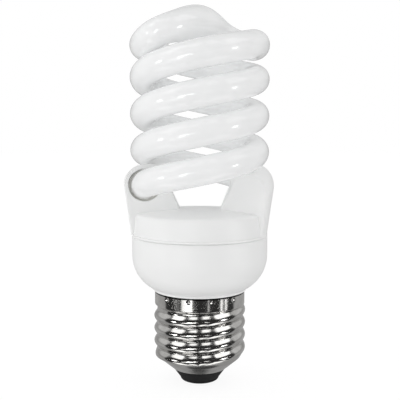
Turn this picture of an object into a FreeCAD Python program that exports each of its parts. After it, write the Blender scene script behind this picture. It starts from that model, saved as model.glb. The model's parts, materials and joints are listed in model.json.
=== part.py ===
import FreeCAD, Part
import math
import os
import re

import Sketcher
from FreeCAD import Placement, Rotation, Vector

# Spiral energy saving lamp with an E27 screw cap.
# The origin is the middle of the centre contact's flat face. The axis of the lamp is +Z, cap down.
# Azimuths are in degrees about +Z: 180 is the left socket, 270 the front.

SIZES = {
    # Glass tube: two arms wound as one right-handed double helix, joined over the top
    "tube_radius": 3.84,
    "coil_inset": 3.6,
    "coil_pitch": 20.2,
    "coil_turns": 2.0,
    "entry_rise": 7.3,
    "entry_end_azimuth": 163.0,
    "bridge_azimuth": 200.0,
    "bridge_rise": 5.38,
    # Upper cover with its two sockets
    "rim_radius": 19.3,
    "cover_wall": 1.1,
    "plateau_inset": 1.0,
    "cover_height": 6.4,
    "plateau_crown": 1.0,
    "plateau_round": 0.9,
    "rim_step": 0.5,
    "hood_gap": 0.85,
    "hood_wall": 0.7,
    "hood_lift": 0.4,
    "hood_shelf": 1.5,
    "hood_inner_round": 4.9,
    "hood_end_round": 1.2,
    "hood_foot_radius": 5.9,
    "hood_closed_azimuth": 151.0,
    "hood_mouth_azimuth": 193.0,
    "hood_end_wall": 4.5,
    "spigot_wall": 1.1,
    "spigot_clearance": 0.1,
    # Lower housing
    "housing_wall": 1.3,
    "housing_height": 15.8,
    "skirt_height": 5.6,
    "lip_height": 26.7,
    "lip_overhang": 0.425,
    "lip_band": 0.6,
    "ledge_width": 0.9,
    "neck_wall": 1.2,
    "neck_bottom": 9.5,
    "neck_clearance": 0.05,
    "lead_hole_radius": 0.75,
    "lead_hole_height": 16.0,
    # Screw cap
    "shell_wall": 0.35,
    "collar_radius": 12.9,
    "collar_bottom": 21.6,
    "root_radius": 12.2,
    "thread_radius": 13.12,
    "thread_round": 1.15,
    "thread_pitch": 3.629,
    "thread_start": 7.9,
    "thread_turns": 3.6,
    "taper_top": 7.4,
    "taper_shoulder_radius": 11.2,
    "taper_shoulder_height": 5.5,
    "shell_mouth_radius": 7.6,
    "shell_mouth_height": 3.7,
    "dimple_count": 12,
    "dimple_azimuth": 16.0,
    "dimple_ball_radius": 1.25,
    "dimple_depth": 0.22,
    "dimple_height": 25.5,
    "insulator_foot_radius": 5.6,
    "insulator_foot_height": 1.0,
    "insulator_bottom": 0.2,
    "insulator_plug_height": 6.4,
    "contact_radius": 4.0,
    "contact_thickness": 0.9,
    "contact_bore": 0.7,
    "solder_thickness": 0.5,
    # Circuit board and what hangs from it
    "board_drop": 4.0,
    "board_thickness": 1.4,
    "board_clearance": 0.15,
    "lead_radius": 0.3,
    "hole_clearance": 0.12,
    "lead_stub": 0.7,
    "bulk_radius": 4.0,
    "bulk_length": 13.5,
    "bulk_x": -2.0,
    "bulk_y": 0.0,
    "bulk_lead_spread": 1.75,
    "choke_x": 8.5,
    "choke_y": 0.0,
    "choke_width": 10.2,
    "choke_depth": 5.0,
    "choke_height": 9.4,
    "choke_leg": 1.4,
    "choke_centre_leg": 2.8,
    "choke_standoff": 0.4,
    "bobbin_wall": 0.5,
    "bobbin_flange": 0.6,
    "bobbin_clearance": 0.05,
    "winding_build": 1.2,
    "toroid_x": -3.4,
    "toroid_y": 10.8,
    "toroid_radius": 4.2,
    "toroid_bore": 2.4,
    "toroid_height": 3.0,
    "toroid_wire": 0.35,
    "toroid_winding_count": 3,
    "toroid_winding_angle": 52.0,
    "film_height": 6.0,
    "film_round": 0.8,
    "resonant_x": 6.0,
    "resonant_y": 9.6,
    "resonant_length": 8.0,
    "resonant_width": 4.4,
    "coupling_x": -6.6,
    "coupling_y": -9.5,
    "coupling_length": 7.0,
    "coupling_width": 4.0,
    "transistor_radius": 2.4,
    "transistor_flat": 1.3,
    "transistor_height": 4.8,
    "transistor_high_x": 0.6,
    "transistor_low_x": 6.6,
    "transistor_y": -9.2,
    "diode_radius": 1.35,
    "diode_length": 5.2,
    "diode_x": -10.6,
    "diode_spacing": 3.1,
    "diode_count": 4,
    "resistor_radius": 0.95,
    "resistor_length": 4.6,
    "resistor_high_x": 14.4,
    "resistor_high_y": 0.0,
    "resistor_low_x": 1.2,
    "resistor_low_y": -13.6,
    "resistor_start_x": 11.6,
    "resistor_start_y": 8.4,
    "diac_radius": 0.95,
    "diac_length": 3.4,
    "diac_x": 10.8,
    "diac_y": -6.9,
    # Leads in the cap and at the tube's ends
    "wire_radius": 0.55,
    "fuse_radius": 1.7,
    "fuse_length": 8.5,
    "fuse_bottom": 10.5,
    "live_drop": 3.4,
    "live_rise": 1.6,
    "live_x": 0.0,
    "live_y": 5.7,
    "neutral_x": 3.2,
    "neutral_y": -5.7,
    "wire_bend": 3.0,
    "pin_radius": 0.4,
    "pin_height": 3.0,
    "pin_inset": 3.5,
    "pin_azimuth": 164.0,
    "pin_spread": 5.0,
    "pin_tail": 1.0,
    "filament_wire_radius": 0.25,
    "filament_bend": 0.6,
    "filament_spread": 1.4,
    "filament_reach": 1.3,
    "cement_start": 168.0,
    "cement_end": 184.0,
    "cement_clearance": 0.14,
}

# What follows from the sizes: each piece starts where the one below it ends
FOLLOWS = {
    "parting_height": "lip_height + housing_height",
    "bowl_height": "parting_height - skirt_height",
    "bowl_drop": "bowl_height - lip_height - lip_band",
    "bowl_swell": "rim_radius - collar_radius - lip_overhang",
    "bowl_radius": "(bowl_swell ^ 2 + bowl_drop ^ 2) / (2 * bowl_swell)",
    "board_bottom": "parting_height - board_drop",
    "plateau_height": "parting_height + cover_height",
    "plateau_radius": "rim_radius - plateau_inset",
    "coil_radius": "rim_radius - coil_inset",
    "entry_height": "plateau_height + entry_rise",
    "bridge_start": "entry_height + coil_pitch * (coil_turns + (bridge_azimuth - 180) / 360)",
    "bridge_height": "bridge_start + bridge_rise",
    "pin_circle": "rim_radius - pin_inset",
    "live_centre_height": "fuse_bottom + fuse_length + live_rise",
    "live_turn_height": "live_centre_height + live_drop",
}

doc = FreeCAD.newDocument("spiral_lamp")


def write_sheet():
    """The driving dimensions, one row each: the name in column A, the size in column B."""
    sheet = doc.addObject("Spreadsheet::Sheet", "Sizes")
    for row, (alias, value) in enumerate(SIZES.items(), start=1):
        sheet.set(f"A{row}", alias)
        sheet.set(f"B{row}", str(value))
        sheet.setAlias(f"B{row}", alias)
    doc.recompute()
    return sheet


sheet = write_sheet()
FUNCTIONS = {"sqrt", "sin", "cos", "deg", "placement", "rotation", "vector"}
NAME = re.compile(r"[a-z][a-z_]+")


def write_out(formula):
    """Puts the sheet's own sizes in place of the names that follow from them."""
    while any(name in FOLLOWS for name in NAME.findall(formula)):
        formula = NAME.sub(
            lambda found: f"({FOLLOWS[found[0]]})" if found[0] in FOLLOWS else found[0], formula)
    return formula


def bound(formula):
    """A formula for the expression engine, with each size's name pointing at the sheet."""
    return NAME.sub(
        lambda found: found[0] if found[0] in FUNCTIONS else "Sizes." + found[0], write_out(formula))


def size(formula):
    """The number that a formula of the sheet's sizes gives now."""
    return float(sheet.evalExpression(write_out(formula)))


def set_sizes(feature, **formulas):
    """Binds properties of a feature to formulas of the sheet's sizes."""
    for name, formula in formulas.items():
        feature.setExpression(name, bound(str(formula)))
    return feature


# Sketches and the features that use them

def new_body(label):
    body = doc.addObject("PartDesign::Body", label)
    body.Label = label
    return body


def origin_plane(body, role):
    return next(plane for plane in body.Origin.OriginFeatures if plane.Role == role)


def new_sketch(body, name, role="XZ_Plane", azimuth="0", height="0"):
    """A sketch on an origin plane, turned about the lamp's axis or lifted along it."""
    sketch = body.newObject("Sketcher::SketchObject", name)
    sketch.AttachmentSupport = (origin_plane(body, role), "")
    sketch.MapMode = "FlatFace"
    if role == "XZ_Plane":
        turned = f"placement(vector(0; 0; 0); rotation(vector(0; 1; 0); {azimuth}))"
        sketch.setExpression("AttachmentOffset", bound(turned))
    else:
        sketch.AttachmentOffset = Placement(Vector(0, 0, size(height)), Rotation())
        sketch.setExpression("AttachmentOffset.Base.z", bound(height))
    return sketch


def pin_point(sketch, edge, point, across, up):
    """Holds a point of the sketch at formulas of the sheet's sizes."""
    for kind, formula, axis in (("DistanceX", across, -2), ("DistanceY", up, -1)):
        if formula == "0":
            sketch.addConstraint(Sketcher.Constraint("PointOnObject", edge, point, axis))
            continue
        row = sketch.addConstraint(Sketcher.Constraint(kind, -1, 1, edge, point, size(formula)))
        sketch.setExpression(f"Constraints[{row}]", bound(formula))


def arc_between(start, end, radius, turn):
    """An arc from start to end of at most half a turn: turn is 1 anticlockwise, -1 clockwise."""
    chord = end - start
    half = chord.Length / 2
    rise = math.sqrt(max(radius * radius - half * half, 0.0))
    middle = (start + end) / 2
    side = Vector(-chord.y, chord.x, 0).normalize() * rise * turn
    centre = middle + side
    first, last = (start, end) if turn > 0 else (end, start)
    angles = [math.atan2((p - centre).y, (p - centre).x) for p in (first, last)]
    circle = Part.Circle(centre, Vector(0, 0, 1), radius)
    return Part.ArcOfCircle(circle, angles[0], angles[1])


def draw_profile(sketch, corners):
    """Draws a closed outline. A corner is (across, up), or (across, up, radius, turn) where the line
    that arrives there is an arc of that radius."""
    points = [Vector(size(c[0]), size(c[1]), 0) for c in corners]
    count = len(corners)
    starts = []
    for index in range(count):
        target = corners[(index + 1) % count]
        start = points[index]
        end = points[(index + 1) % count]
        if len(target) == 2:
            sketch.addGeometry(Part.LineSegment(start, end), False)
            starts.append(1)
        else:
            sketch.addGeometry(arc_between(start, end, size(target[2]), target[3]), False)
            starts.append(1 if target[3] > 0 else 2)
    for index in range(count):
        previous = index - 1 if index else count - 1
        sketch.addConstraint(
            Sketcher.Constraint("Coincident", previous, 3 - starts[previous], index, starts[index]))
        pin_point(sketch, index, starts[index], corners[index][0], corners[index][1])
        target = corners[(index + 1) % count]
        if len(target) == 4:
            row = sketch.addConstraint(Sketcher.Constraint("Radius", index, size(target[2])))
            sketch.setExpression(f"Constraints[{row}]", bound(target[2]))
    return sketch


def draw_circle(sketch, across, up, radius):
    circle = Part.Circle(Vector(size(across), size(up), 0), Vector(0, 0, 1), size(radius))
    edge = sketch.addGeometry(circle, False)
    pin_point(sketch, edge, 3, across, up)
    row = sketch.addConstraint(Sketcher.Constraint("Radius", edge, size(radius)))
    sketch.setExpression(f"Constraints[{row}]", bound(radius))
    return sketch


def revolve(body, name, corners, kind="PartDesign::Revolution"):
    """A full turn of an outline about the lamp's axis, added or cut away."""
    sketch = draw_profile(new_sketch(body, name + "_outline"), corners)
    feature = body.newObject(kind, name)
    feature.Profile = sketch
    feature.ReferenceAxis = (sketch, ["V_Axis"])
    feature.Angle = 360
    doc.recompute()
    return feature


# Casings

def ballast_housing():
    """The lower moulding: a bowl that narrows to the cap, with a neck that the cap's shell is staked to."""
    body = new_body("ballast_housing")
    bowl_centre = "(rim_radius - bowl_radius)"
    lip_top = "lip_height + lip_band"
    lip_end = "collar_radius + lip_overhang"
    inner = "(bowl_radius - housing_wall)"
    neck_high = "collar_radius - shell_wall - neck_clearance"
    neck_low = "root_radius - shell_wall - neck_clearance"
    shoulder = "thread_start + thread_pitch * thread_turns + thread_round + neck_clearance"
    bore = f"{neck_low} - neck_wall"
    ledge = "rim_radius - housing_wall - ledge_width"
    floor = f"bowl_height - sqrt({inner} ^ 2 - ({bore} - {bowl_centre}) ^ 2)"
    revolve(body, "bowl_and_neck", [
        (bore, "neck_bottom"),
        (neck_low, "neck_bottom"),
        (neck_low, shoulder),
        (neck_high, f"{shoulder} + 2 * shell_wall"),
        (neck_high, "lip_height"),
        (lip_end, "lip_height"),
        (lip_end, lip_top),
        ("rim_radius", "bowl_height", "bowl_radius", 1),
        ("rim_radius", "parting_height"),
        ("rim_radius - housing_wall", "parting_height"),
        ("rim_radius - housing_wall", "board_bottom"),
        (ledge, "board_bottom"),
        (ledge, "bowl_height"),
        (f"{bowl_centre} + sqrt({inner} ^ 2 - ledge_width ^ 2)", "bowl_height - ledge_width"),
        (bore, floor, inner, -1),
    ])
    hole = new_sketch(body, "neutral_hole_outline")
    draw_circle(hole, "neutral_x", "lead_hole_height", "lead_hole_radius")
    pocket = body.newObject("PartDesign::Pocket", "neutral_hole")
    pocket.Profile = hole
    pocket.Reversed = True
    set_sizes(pocket, Length="collar_radius")
    doc.recompute()
    body.Tip = pocket
    return body


def centre_height(azimuth):
    """Height of the tube's centre line where it enters the left socket."""
    return f"entry_height + coil_pitch * ({azimuth} - 180) / 360"


def hood_outside(azimuth, inset):
    """The socket's outer section: a leaning inner wall, an arch over the tube and a flared outer wall."""
    reach = f"(tube_radius + hood_gap + hood_wall - {inset})"
    inner = f"(hood_inner_round - {inset})"
    centre = f"{centre_height(azimuth)} + hood_lift"
    return [
        (f"hood_foot_radius + {inset}", "plateau_height - cover_wall"),
        ("rim_radius - 2 * cover_wall", "parting_height + rim_step / 2"),
        (f"rim_radius - rim_step / 5 - {inset}", "parting_height + rim_step / 2"),
        (f"coil_radius + {reach}", centre),
        ("coil_radius", f"{centre} + {reach}", reach, 1),
        ("coil_radius - hood_shelf", f"{centre} + {reach}"),
        (f"coil_radius - hood_shelf - {inner}", f"{centre} + {reach} - {inner}", inner, 1),
        (f"hood_foot_radius + {inset}", "plateau_height + plateau_crown - cover_wall / 2"),
    ]


def hood_inside(azimuth, inset):
    """The hollow of the socket, open downwards inside the spigot."""
    reach = "(tube_radius + hood_gap)"
    centre = centre_height(azimuth)
    spigot = "rim_radius - housing_wall - spigot_clearance - 1.5 * spigot_wall"
    return [
        ("hood_foot_radius + 2 * hood_wall", "parting_height - cover_wall"),
        (spigot, "parting_height - cover_wall"),
        (spigot, "parting_height + cover_wall"),
        ("rim_radius - hood_wall", "parting_height + 2 * cover_wall"),
        (f"coil_radius + {reach}", centre),
        ("coil_radius", f"{centre} + {reach}", reach, 1),
        (f"coil_radius - {reach}", centre, reach, 1),
        ("hood_foot_radius + 2 * hood_wall", "plateau_height + plateau_crown - cover_wall / 2"),
    ]


def tube_cover():
    """The upper moulding: a crowned plateau with two hooded sockets for the tube, half a turn apart."""
    body = new_body("tube_cover")
    spigot_out = "rim_radius - housing_wall - spigot_clearance"
    spigot_in = f"{spigot_out} - spigot_wall"
    crown_radius = "(plateau_radius - plateau_round) ^ 2 / (2 * plateau_crown) + plateau_crown / 2"
    under_radius = f"({spigot_in}) ^ 2 / (2 * plateau_crown) + plateau_crown / 2"
    revolve(body, "plateau", [
        ("0", "plateau_height + plateau_crown - cover_wall"),
        (spigot_in, "plateau_height - cover_wall", under_radius, -1),
        (spigot_in, "board_bottom + board_thickness"),
        (spigot_out, "board_bottom + board_thickness"),
        (spigot_out, "parting_height"),
        ("rim_radius", "parting_height"),
        ("rim_radius", "parting_height + rim_step"),
        ("plateau_radius + rim_step", "parting_height + rim_step"),
        ("plateau_radius", "plateau_height - plateau_round"),
        ("plateau_radius - plateau_round", "plateau_height", "plateau_round", 1),
        ("0", "plateau_height + plateau_crown", crown_radius, 1),
    ])
    span = "(hood_mouth_azimuth - hood_closed_azimuth)"
    outside = [(f"hood_closed_azimuth + {span} * {share}", f"hood_end_round * {inset}")
               for share, inset in ((0, 1), (0.03, 0.25), (0.1, 0), (0.4, 0), (0.7, 0), (1, 0))]
    inside = [(f"hood_closed_azimuth + hood_end_wall + ({span} - 2 * hood_end_wall) * {share}", "0")
              for share in (0, 0.25, 0.5, 0.75, 1)]
    for side, turn in (("left", 0), ("right", 180)):
        make_hood(body, side, turn, outside, "AdditiveLoft", hood_outside)
        make_hood(body, side, turn, inside, "SubtractiveLoft", hood_inside)
        mouth = new_sketch(body, f"mouth_{side}_outline",
                           azimuth=f"hood_mouth_azimuth - 1.5 * hood_end_wall + {turn}")
        draw_circle(mouth, "coil_radius", centre_height("hood_mouth_azimuth"), "tube_radius + hood_gap")
        groove = body.newObject("PartDesign::Groove", f"mouth_{side}")
        groove.Profile = mouth
        groove.ReferenceAxis = (mouth, ["V_Axis"])
        set_sizes(groove, Angle="3 * hood_end_wall * 1 deg")
        doc.recompute()
        body.Tip = groove
    return body


def make_hood(body, side, turn, places, kind, section):
    """One loft of a socket; turn moves it half a turn round for the right one. Each place is an azimuth and
    how far the section is drawn in there, which rounds the closed end."""
    name = f"{'hood' if kind == 'AdditiveLoft' else 'hollow'}_{side}"
    sketches = []
    for number, (azimuth, inset) in enumerate(places):
        sketch = new_sketch(body, f"{name}_section_{number}", azimuth=f"{azimuth} + {turn}")
        sketches.append(draw_profile(sketch, section(f"({azimuth})", inset)))
    feature = body.newObject("PartDesign::" + kind, name)
    feature.Profile = sketches[0]
    feature.Sections = sketches[1:]
    feature.Ruled = False
    doc.recompute()
    return feature


# Screw cap

def cap_shell():
    """The pressed brass shell: a smooth collar, a knuckle thread and a dished foot round the insulator."""
    body = new_body("cap_shell")
    revolve(body, "shell_wall_turned", [
        ("shell_mouth_radius", "shell_mouth_height"),
        ("taper_shoulder_radius", "taper_shoulder_height", "2 * taper_shoulder_radius", 1),
        ("root_radius", "taper_top", "2 * (taper_top - taper_shoulder_height)", 1),
        ("root_radius", "collar_bottom - shell_wall"),
        ("collar_radius", "collar_bottom + shell_wall"),
        ("collar_radius", "lip_height"),
        ("collar_radius - shell_wall", "lip_height"),
        ("collar_radius - shell_wall", "collar_bottom + shell_wall"),
        ("root_radius - shell_wall", "collar_bottom - 2 * shell_wall"),
        ("root_radius - shell_wall", "taper_top"),
        ("taper_shoulder_radius - shell_wall / 2", "taper_shoulder_height + shell_wall",
         "2 * (taper_top - taper_shoulder_height)", -1),
        ("shell_mouth_radius", "shell_mouth_height + shell_wall", "2 * taper_shoulder_radius", -1),
    ])
    add_thread(body)
    add_dimples(body)
    return body


def add_thread(body):
    """The knuckle thread: a round ridge swept up a right-handed helix."""
    base = "(root_radius - shell_wall / 2)"
    rise = f"(thread_radius - {base})"
    half = f"sqrt(2 * thread_round * {rise} - {rise} ^ 2)"
    outline = draw_profile(new_sketch(body, "thread_outline", azimuth="180"), [
        (base, f"thread_start - {half}"),
        (base, f"thread_start + {half}", "thread_round", 1),
    ])
    ridge = body.newObject("PartDesign::AdditiveHelix", "thread_ridge")
    ridge.Profile = outline
    ridge.ReferenceAxis = (outline, ["V_Axis"])
    ridge.Mode = "pitch-turns-angle"
    set_sizes(ridge, Pitch="thread_pitch", Turns="thread_turns")
    ridge.LeftHanded = False
    doc.recompute()


def add_dimples(body):
    """Shallow round punch marks in the collar that hold the shell on the housing's neck."""
    ball = body.newObject("PartDesign::SubtractiveSphere", "dimple")
    ball.AttachmentSupport = (origin_plane(body, "XY_Plane"), "")
    ball.MapMode = "FlatFace"
    set_sizes(ball, Radius="dimple_ball_radius")
    reach = "collar_radius + dimple_ball_radius - dimple_depth"
    ball.setExpression("AttachmentOffset.Base.x", bound(f"({reach}) * cos(dimple_azimuth * 1 deg)"))
    ball.setExpression("AttachmentOffset.Base.y", bound(f"({reach}) * sin(dimple_azimuth * 1 deg)"))
    ball.setExpression("AttachmentOffset.Base.z", bound("dimple_height"))
    doc.recompute()
    ring = body.newObject("PartDesign::PolarPattern", "dimple_ring")
    ring.Originals = [ball]
    ring.Axis = (next(line for line in body.Origin.OriginFeatures if line.Role == "Z_Axis"), [""])
    ring.Angle = 360
    set_sizes(ring, Occurrences="dimple_count")
    body.Tip = ring
    doc.recompute()


def cap_insulator():
    """The black insulator: a rounded cone with a recess for the contact and a plug inside the shell."""
    body = new_body("cap_insulator")
    revolve(body, "insulator_turned", [
        ("contact_bore", "contact_thickness"),
        ("contact_radius", "contact_thickness"),
        ("contact_radius", "insulator_bottom"),
        ("insulator_foot_radius - (insulator_foot_height - insulator_bottom)", "insulator_bottom"),
        ("insulator_foot_radius", "insulator_foot_height", "insulator_foot_height - insulator_bottom", 1),
        ("shell_mouth_radius", "shell_mouth_height"),
        ("shell_mouth_radius", "insulator_plug_height"),
        ("contact_bore", "insulator_plug_height"),
    ])
    return body


def centre_contact():
    """The contact: a thick brass washer, flush with the solder that fills its bore."""
    body = new_body("centre_contact")
    revolve(body, "contact_turned", [
        ("contact_bore", "0"),
        ("contact_radius", "0"),
        ("contact_radius", "contact_thickness"),
        ("contact_bore", "contact_thickness"),
    ])
    return body


def contact_solder():
    return cylinder("contact_solder", "contact_bore", "solder_thickness", "0", "0", "0")


# Primitives that take their sizes and places from the sheet

def place(feature, x, y, z):
    feature.setExpression("Placement.Base.x", bound(x))
    feature.setExpression("Placement.Base.y", bound(y))
    feature.setExpression("Placement.Base.z", bound(z))
    return feature


def cylinder(name, radius, height, x, y, z, axis="z"):
    """A cylinder that starts at (x, y, z) and runs along an axis."""
    rod = doc.addObject("Part::Cylinder", name)
    directions = {"x": Vector(1, 0, 0), "y": Vector(0, 1, 0), "z": Vector(0, 0, 1)}
    rod.Placement = Placement(Vector(), Rotation(Vector(0, 0, 1), directions[axis]))
    set_sizes(rod, Radius=radius, Height=height)
    return place(rod, x, y, z)


def box(name, length, width, height, x, y, z):
    """A block about the point (x, y) whose lowest face is at z."""
    block = doc.addObject("Part::Box", name)
    set_sizes(block, Length=length, Width=width, Height=height)
    return place(block, f"{x} - ({length}) / 2", f"{y} - ({width}) / 2", z)


def join(name, pieces):
    whole = doc.addObject("Part::MultiFuse", name)
    whole.Shapes = pieces
    return whole


def cut(name, base, tool):
    rest = doc.addObject("Part::Cut", name)
    rest.Base = base
    rest.Tool = tool
    return rest


def group(name, pieces):
    """Alike pieces kept as separate solids of one node."""
    several = doc.addObject("Part::Compound", name)
    several.Links = pieces
    return several


BOARD_TOP = "board_bottom + board_thickness"
lead_places = []


def lead(name, x, y, start="board_bottom - lead_stub"):
    """A round lead that runs up through its hole in the board and ends just above it."""
    lead_places.append((x, y, "lead_radius + hole_clearance"))
    return cylinder(name, "lead_radius", f"{BOARD_TOP} + lead_stub - ({start})", x, y, start)


# What hangs from the board

def bulk_capacitor():
    can = cylinder("bulk_can", "bulk_radius", "bulk_length", "bulk_x", "bulk_y",
                   "board_bottom - bulk_length")
    leads = [lead(f"bulk_lead_{sign}", "bulk_x", f"bulk_y {sign} bulk_lead_spread") for sign in "+-"]
    for number, rod in enumerate(leads):
        rod.Label = f"bulk_lead_{number}"
    return join("bulk_capacitor", [can, *leads])


CORE_TOP = "board_bottom - choke_standoff"
CORE_BOTTOM = f"{CORE_TOP} - choke_height"
WINDOW = "(choke_width - 2 * choke_leg - choke_centre_leg) / 2"


def choke_core():
    """Two E-shaped ferrite halves round the bobbin, glued into one block with two windows."""
    block = box("core_block", "choke_depth", "choke_width", "choke_height",
                "choke_x", "choke_y", CORE_BOTTOM)
    windows = []
    for sign in "+-":
        middle = f"choke_y {sign} (choke_centre_leg / 2 + {WINDOW} / 2)"
        windows.append(box("core_window", "2 * choke_depth", WINDOW, "choke_height - 2 * choke_leg",
                           "choke_x", middle, f"{CORE_BOTTOM} + choke_leg"))
    return cut("choke_core", block, join("core_windows", windows))


def around_leg(name, margin, height, z):
    """A block about the centre leg that stands out from it by a margin."""
    return box(name, f"choke_depth + 2 * ({margin})", f"choke_centre_leg + 2 * ({margin})", height,
               "choke_x", "choke_y", z)


def choke_bobbin():
    """The bobbin: a sleeve about the centre leg, two flanges, and two rails that stand on the board."""
    inside = f"{CORE_BOTTOM} + choke_leg"
    tall = "choke_height - 2 * choke_leg"
    reach = f"{WINDOW} - bobbin_clearance"
    sleeve = around_leg("bobbin_sleeve", "bobbin_wall", tall, inside)
    low = around_leg("bobbin_low_flange", reach, "bobbin_flange", inside)
    high = around_leg("bobbin_high_flange", reach, "bobbin_flange", f"{inside} + {tall} - bobbin_flange")
    rails = []
    width = f"({reach} - bobbin_clearance)"
    for sign in "+-":
        middle = f"choke_x {sign} (choke_depth / 2 + bobbin_clearance + {width} / 2)"
        rails.append(box("bobbin_rail", width, f"choke_centre_leg + 2 * ({reach})",
                         "choke_leg + choke_standoff", middle, "choke_y",
                         "board_bottom - choke_leg - choke_standoff"))
        for side in "+-":
            rails.append(lead("bobbin_pin", middle, f"choke_y {side} choke_centre_leg"))
    leg = around_leg("bobbin_leg_space", "bobbin_clearance", "2 * choke_height",
                     f"{CORE_BOTTOM} - choke_leg")
    return cut("choke_bobbin", join("bobbin_solid", [sleeve, low, high, *rails]), leg)


def choke_winding():
    """The coil of enamelled wire between the bobbin's flanges."""
    z = f"{CORE_BOTTOM} + choke_leg + bobbin_flange"
    tall = "choke_height - 2 * choke_leg - 2 * bobbin_flange"
    block = around_leg("winding_block", "bobbin_wall + winding_build", tall, z)
    space = around_leg("winding_space", "bobbin_wall", tall, z)
    return cut("choke_winding", block, space)


TOROID_BOTTOM = "board_bottom - toroid_wire - toroid_height"


def ring(name, outer, inner, height, z):
    disc = cylinder(name + "_disc", outer, height, "toroid_x", "toroid_y", z)
    bore = cylinder(name + "_bore", inner, height, "toroid_x", "toroid_y", z)
    return cut(name, disc, bore)


def toroid_core():
    return ring("toroid_core", "toroid_radius", "toroid_bore", "toroid_height", TOROID_BOTTOM)


def toroid_winding():
    """Three short windings on the ring, each a band of wire round its section, with a lead to the board."""
    bands = []
    tall = "toroid_height + 2 * toroid_wire"
    low = f"{TOROID_BOTTOM} - toroid_wire"
    for number in range(int(size("toroid_winding_count"))):
        outside = cylinder("toroid_band_outside", "toroid_radius + toroid_wire", tall,
                           "toroid_x", "toroid_y", low)
        bore = cylinder("toroid_band_bore", "toroid_bore - toroid_wire", tall,
                        "toroid_x", "toroid_y", low)
        for sector in (outside, bore):
            set_sizes(sector, Angle="toroid_winding_angle * 1 deg")
            turned = f"360 * {number} / toroid_winding_count"
            sector.Placement = Placement(sector.Placement.Base, Rotation(Vector(0, 0, 1), size(turned)))
        band = cut("toroid_band_sector", outside, bore)
        space = ring("toroid_band_space", "toroid_radius", "toroid_bore", "toroid_height", TOROID_BOTTOM)
        bands.append(cut("toroid_band", band, space))
    return group("toroid_winding", bands)


def film_capacitor(use):
    """A dipped film capacitor: a block with rounded edges on two leads."""
    name = use + "_capacitor"
    x, y, length, width = (f"{use}_{what}" for what in ("x", "y", "length", "width"))
    block = box(name + "_block", length, width, "film_height", x, y, "board_bottom - film_height")
    doc.recompute()
    rounded = doc.addObject("Part::Fillet", name + "_body")
    rounded.Base = block
    lowest = size("board_bottom - film_height")
    chosen = [n for n, edge in enumerate(block.Shape.Edges, start=1) if edge.BoundBox.ZMin < lowest + 1
              or edge.BoundBox.ZLength > 1]
    rounded.Edges = [(n, size("film_round"), size("film_round")) for n in chosen]
    leads = [lead(f"{name}_lead", f"{x} {sign} {length} / 3", y) for sign in "+-"]
    return join(name, [rounded, *leads])


def transistor(name):
    """A small plastic transistor: a half-round body with a flat face and three leads in a row."""
    x = name + "_x"
    barrel = cylinder(name + "_barrel", "transistor_radius", "transistor_height", x, "transistor_y",
                      "board_bottom - transistor_height")
    flat = box(name + "_flat", "3 * transistor_radius", "transistor_radius", "2 * transistor_height", x,
               "transistor_y + transistor_flat + transistor_radius / 2",
               "board_bottom - 1.5 * transistor_height")
    leads = [lead(f"{name}_lead", f"{x} + {step} * transistor_radius / 2", "transistor_y")
             for step in (-1, 0, 1)]
    return join(name, [cut(name + "_body", barrel, flat), *leads])


def axial(name, radius, length, x, y, axis):
    """A part with a round body lying along the board and a bent lead at each end."""
    start = f"{x if axis == 'x' else y} - ({length}) / 2"
    z = f"board_bottom - {radius}"
    if axis == "x":
        pieces = [cylinder(name + "_body", radius, length, start, y, z, "x")]
        wire = cylinder(name + "_wire", "lead_radius", f"{length} + 4 * lead_radius",
                        f"{start} - 2 * lead_radius", y, z, "x")
    else:
        pieces = [cylinder(name + "_body", radius, length, x, start, z, "y")]
        wire = cylinder(name + "_wire", "lead_radius", f"{length} + 4 * lead_radius", x,
                        f"{start} - 2 * lead_radius", z, "y")
    pieces.append(wire)
    for sign in "+-":
        offset = f"{sign} (({length}) / 2 + 2 * lead_radius)"
        if axis == "x":
            pieces.append(lead(name + "_leg", f"{x} {offset}", y, z))
        else:
            pieces.append(lead(name + "_leg", x, f"{y} {offset}", z))
    return join(name, pieces)


def rectifier_diodes():
    """Four diodes side by side, the bridge that feeds the bulk capacitor."""
    diodes = []
    for number in range(int(size("diode_count"))):
        y = f"diode_spacing * ({number} - (diode_count - 1) / 2)"
        diodes.append(axial(f"diode_{number}", "diode_radius", "diode_length", "diode_x", y, "x"))
    return group("rectifier_diodes", diodes)


def resistors():
    """Two base resistors for the transistors and the starting resistor."""
    return group("resistors", [
        axial(name, "resistor_radius", "resistor_length", name + "_x", name + "_y", axis)
        for name, axis in (("resistor_high", "y"), ("resistor_low", "x"), ("resistor_start", "y"))])


def diac():
    return axial("diac", "diac_radius", "diac_length", "diac_x", "diac_y", "x")


def circuit_board():
    """The round board between the housing's ledge and the cover's spigot, with a hole for each lead."""
    radius = "rim_radius - housing_wall - board_clearance"
    disc = cylinder("board_disc", radius, "board_thickness", "0", "0", "board_bottom")
    holes = [cylinder("board_hole", hole, "board_thickness", x, y, "board_bottom")
             for x, y, hole in lead_places]
    return cut("circuit_board", disc, join("board_holes", holes))


# Swept pieces: the tube, the wires and the cement

def helix_point(azimuth, arm):
    """A point of the tube's centre line on one arm; arm 1 is half a turn on from arm 0."""
    turn = math.radians(azimuth + 180 * arm)
    height = size("entry_height") + size("coil_pitch") * (azimuth - 180) / 360
    radius = size("coil_radius")
    return Vector(radius * math.cos(turn), radius * math.sin(turn), height)


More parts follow.
